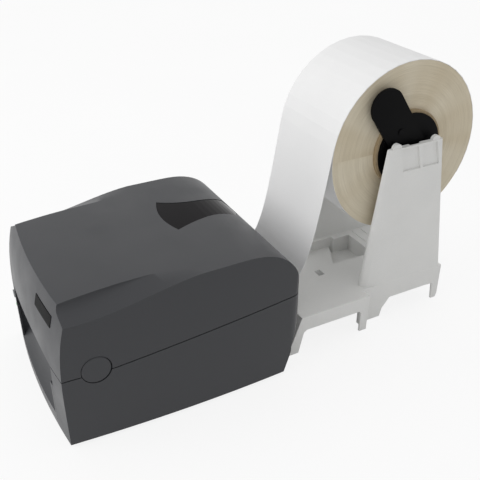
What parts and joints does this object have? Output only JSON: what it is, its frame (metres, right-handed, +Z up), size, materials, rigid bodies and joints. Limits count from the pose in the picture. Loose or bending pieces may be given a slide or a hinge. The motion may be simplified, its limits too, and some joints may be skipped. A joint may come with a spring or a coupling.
{
  "type": "thermal label printer",
  "caption": "Desktop thermal label printer with hinged lid, side release buttons, print mechanism and a stand behind it that feeds a large label roll in through the rear.",
  "frame": {"origin": "On the table, at the middle of the whole machine's width and length (printer and stand).", "axes": "+X across the printer, to the right of a person who stands in front of it and faces it along +Y; +Y from the printer's front face to the rear, where the label roll hangs; +Z up."},
  "size_m": [0.2386, 0.5654, 0.3351],
  "materials": {
    "case_plastic": "fine satin texture, charcoal grey",
    "window_plastic": "smoked, glossy",
    "black_plastic": "satin black",
    "inner_plastic": "satin dark grey",
    "white_plastic": "fine satin texture, off-white",
    "gear_plastic": "natural acetal",
    "guide_plastic": "satin green",
    "red_plastic": "glossy",
    "key_plastic": "satin grey",
    "lens_plastic": "translucent green",
    "steel": "plated",
    "head_aluminium": "extruded",
    "motor_metal": "painted can",
    "bronze": "sintered, oiled",
    "roller_rubber": "ground rubber",
    "foot_rubber": "moulded rubber",
    "board_laminate": "solder mask",
    "label_paper": "coated label paper",
    "core_card": "wound cardboard"
  },
  "bodies": {
    "printer_base": {"base_shell": "case_plastic", "rubber_feet": "foot_rubber", "inner_deck": "inner_plastic", "side_plates": "steel", "exit_frame": "inner_plastic", "tear_bar": "steel", "front_panel": "case_plastic", "platen_bushes": "bronze", "gear_stud": "steel", "stepper_motor": "motor_metal", "sensor_rail": "steel", "main_board": "board_laminate", "port_plate": "steel", "usb_port": "steel", "network_port": "steel", "dc_inlet": "black_plastic", "rocker_housing": "black_plastic", "hinge_pins": "steel", "latch_pivots": "steel", "case_screws": "steel", "status_lens": "lens_plastic", "release_spring_right": "steel", "release_spring_left": "steel", "stand_base": "white_plastic", "upright_left": "white_plastic", "upright_right": "white_plastic", "roll_spindle": "black_plastic", "hub_left": "black_plastic", "hub_right": "black_plastic", "label_web": "label_paper"},
    "platen": {"platen_roller": "roller_rubber", "platen_shaft": "steel", "platen_gear": "gear_plastic"},
    "drive_idler": {"idler_gear": "gear_plastic"},
    "motor_rotor": {"motor_pinion": "bronze"},
    "lid": {"lid_shell": "case_plastic", "lid_window": "window_plastic", "badge_plate": "black_plastic", "carriage_frame": "inner_plastic", "head_pivot_rod": "steel", "head_springs": "steel"},
    "ribbon_idler": {"ribbon_idler_gear": "gear_plastic"},
    "ribbon_takeup": {"takeup_spindle": "gear_plastic", "takeup_core": "core_card", "takeup_gear": "gear_plastic"},
    "ribbon_supply": {"supply_spindle": "gear_plastic", "supply_core": "core_card"},
    "print_head_unit": {"print_head": "head_aluminium"},
    "guide_right": {"media_guide_right": "guide_plastic"},
    "guide_left": {"media_guide_left": "guide_plastic"},
    "guide_gear": {"guide_pinion": "gear_plastic"},
    "sensor_slide": {"label_sensor": "black_plastic"},
    "button_right": {"release_button_right": "case_plastic"},
    "button_left": {"release_button_left": "case_plastic"},
    "latch_right": {"latch_lever_right": "inner_plastic"},
    "latch_left": {"latch_lever_left": "inner_plastic"},
    "rocker": {"power_rocker": "red_plastic"},
    "feed_button": {"feed_key": "key_plastic"},
    "roll": {"label_roll": "label_paper", "roll_core": "core_card"}
  },
  "joints": [
    {"name": "lid_hinge", "type": "hinge", "parent": "printer_base", "child": "lid", "pos_m": [0, 0.0058, 0.1072], "axis": [-1, 0, 0], "range_deg": [0, 70]},
    {"name": "platen_turn", "type": "hinge", "parent": "printer_base", "child": "platen", "pos_m": [0, -0.2508, 0.078], "axis": [1, 0, 0], "continuous": true},
    {"name": "drive_idler_turn", "type": "hinge", "parent": "printer_base", "child": "drive_idler", "pos_m": [-0.072, -0.24374, 0.05339], "axis": [1, 0, 0], "continuous": true},
    {"name": "motor_turn", "type": "hinge", "parent": "printer_base", "child": "motor_rotor", "pos_m": [-0.072, -0.23037, 0.03746], "axis": [1, 0, 0], "continuous": true},
    {"name": "ribbon_idler_turn", "type": "hinge", "parent": "lid", "child": "ribbon_idler", "pos_m": [-0.072, -0.23821, 0.11258], "axis": [1, 0, 0], "continuous": true},
    {"name": "ribbon_takeup_turn", "type": "hinge", "parent": "lid", "child": "ribbon_takeup", "pos_m": [0, -0.20545, 0.13552], "axis": [1, 0, 0], "continuous": true},
    {"name": "ribbon_supply_turn", "type": "hinge", "parent": "lid", "child": "ribbon_supply", "pos_m": [0, -0.14345, 0.13652], "axis": [1, 0, 0], "continuous": true},
    {"name": "print_head_swing", "type": "hinge", "parent": "lid", "child": "print_head_unit", "pos_m": [0, -0.23821, 0.11258], "axis": [-1, 0, 0], "range_deg": [0, 4], "stiffness_Nm_per_rad": 2, "springref_deg": -5.73, "deforming": ["head_springs"]},
    {"name": "guide_right_slide", "type": "slide", "parent": "printer_base", "child": "guide_right", "axis": [-1, 0, 0], "range_m": [0, 0.046]},
    {"name": "guide_left_slide", "type": "slide", "parent": "printer_base", "child": "guide_left", "axis": [1, 0, 0], "range_m": [0, 0.046]},
    {"name": "guide_pinion_turn", "type": "hinge", "parent": "printer_base", "child": "guide_gear", "pos_m": [0, -0.1128, 0.064], "axis": [0, 0, 1], "range_deg": [-330, 0]},
    {"name": "sensor_slide_x", "type": "slide", "parent": "printer_base", "child": "sensor_slide", "axis": [1, 0, 0], "range_m": [-0.055, 0.055]},
    {"name": "release_press_right", "type": "slide", "parent": "printer_base", "child": "button_right", "axis": [-1, 0, 0], "range_m": [0, 0.004], "stiffness_N_per_m": 500, "springref_m": -0.002},
    {"name": "release_press_left", "type": "slide", "parent": "printer_base", "child": "button_left", "axis": [1, 0, 0], "range_m": [0, 0.004], "stiffness_N_per_m": 500, "springref_m": -0.002},
    {"name": "latch_swing_right", "type": "hinge", "parent": "printer_base", "child": "latch_right", "pos_m": [0.086, -0.239, 0.058], "axis": [0, -1, 0], "range_deg": [0, 7]},
    {"name": "latch_swing_left", "type": "hinge", "parent": "printer_base", "child": "latch_left", "pos_m": [-0.086, -0.239, 0.058], "axis": [0, 1, 0], "range_deg": [0, 7]},
    {"name": "power_switch_rock", "type": "hinge", "parent": "printer_base", "child": "rocker", "pos_m": [0.058, -0.0293, 0.03], "axis": [-1, 0, 0], "range_deg": [0, 14]},
    {"name": "feed_press", "type": "slide", "parent": "printer_base", "child": "feed_button", "axis": [0, 1, 0], "range_m": [0, 0.001], "stiffness_N_per_m": 800, "springref_m": -0.001},
    {"name": "roll_turn", "type": "hinge", "parent": "printer_base", "child": "roll", "pos_m": [0, 0.177, 0.2295], "axis": [1, 0, 0], "continuous": true}
  ],
  "couplings": [
    {"joint": "drive_idler_turn", "follows": "platen_turn", "ratio": -0.6},
    {"joint": "motor_turn", "follows": "platen_turn", "ratio": 2},
    {"joint": "ribbon_idler_turn", "follows": "platen_turn", "ratio": -0.35294},
    {"joint": "ribbon_takeup_turn", "follows": "platen_turn", "ratio": 0.75},
    {"joint": "guide_left_slide", "follows": "guide_right_slide", "ratio": 1},
    {"joint": "guide_pinion_turn", "follows": "guide_right_slide", "rad_per_m": -125},
    {"joint": "latch_swing_right", "follows": "release_press_right", "rad_per_m": 28.736},
    {"joint": "latch_swing_left", "follows": "release_press_left", "rad_per_m": 28.736}
  ]
}
